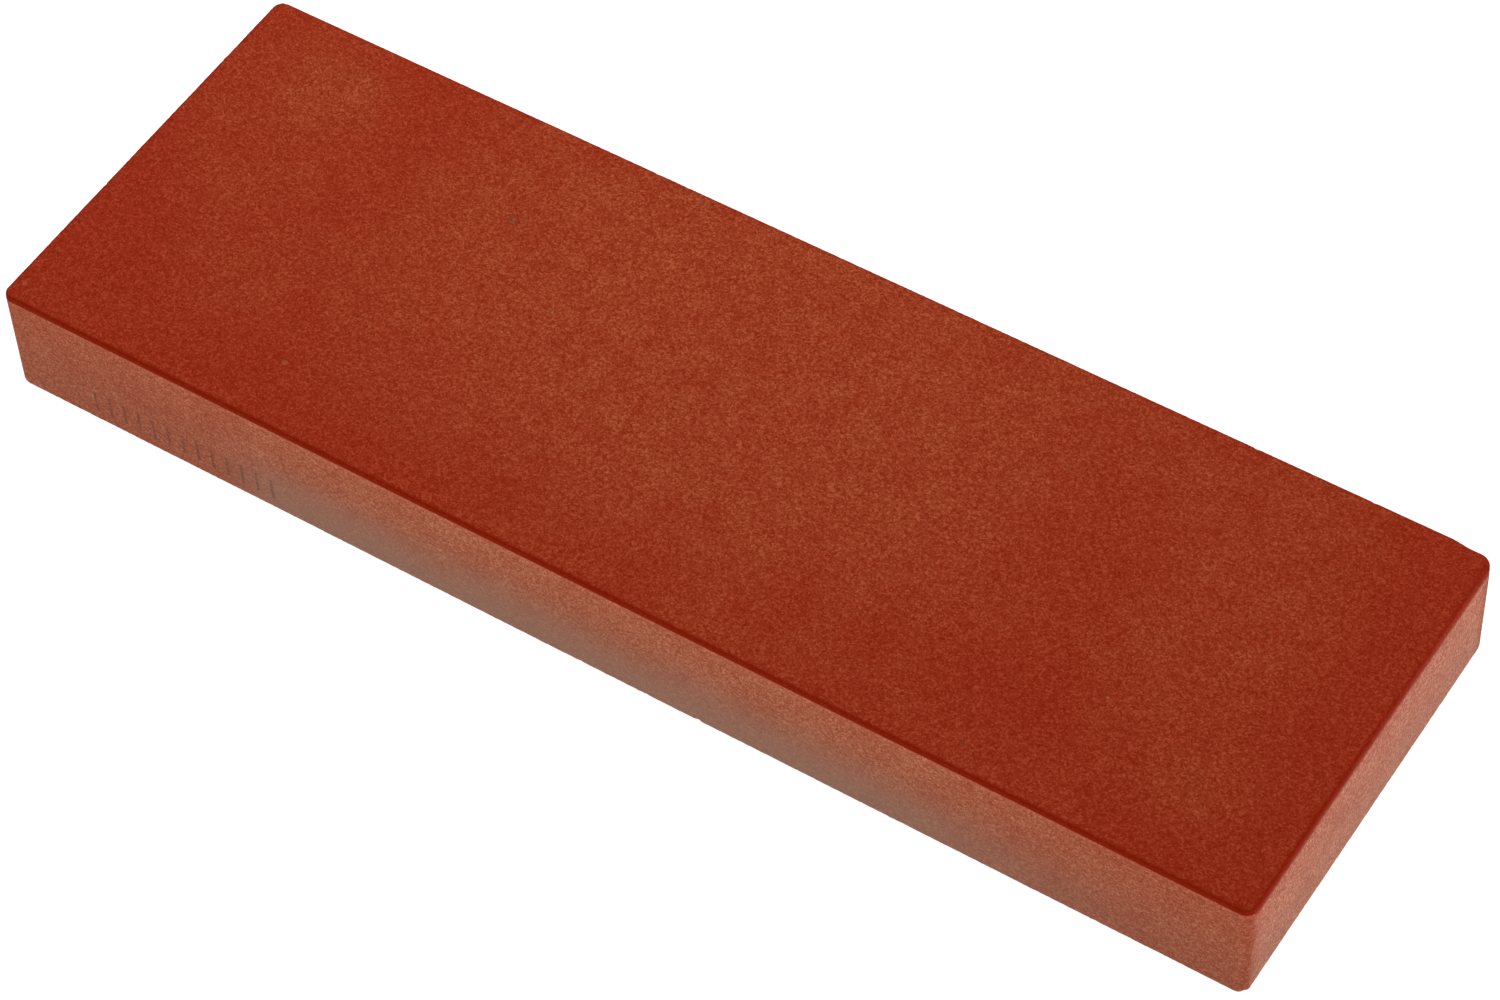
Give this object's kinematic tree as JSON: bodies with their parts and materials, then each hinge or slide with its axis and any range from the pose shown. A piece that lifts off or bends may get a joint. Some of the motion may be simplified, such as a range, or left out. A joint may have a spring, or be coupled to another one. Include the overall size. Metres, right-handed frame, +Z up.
{
  "type": "sharpening stone",
  "caption": "Rectangular bench sharpening stone: a one-piece bonded abrasive block with flat working faces, rounded upright corners and finely bevelled rims.",
  "frame": {"origin": "centre of the underside, the flat face that the stone rests on", "axes": "+X along the length, +Y across the width, +Z up through the thickness, out of the working face"},
  "size_m": [0.21, 0.07, 0.02],
  "materials": {
    "abrasive": "matte"
  },
  "bodies": {
    "root": {"stone_block": "abrasive"}
  },
  "joints": []
}
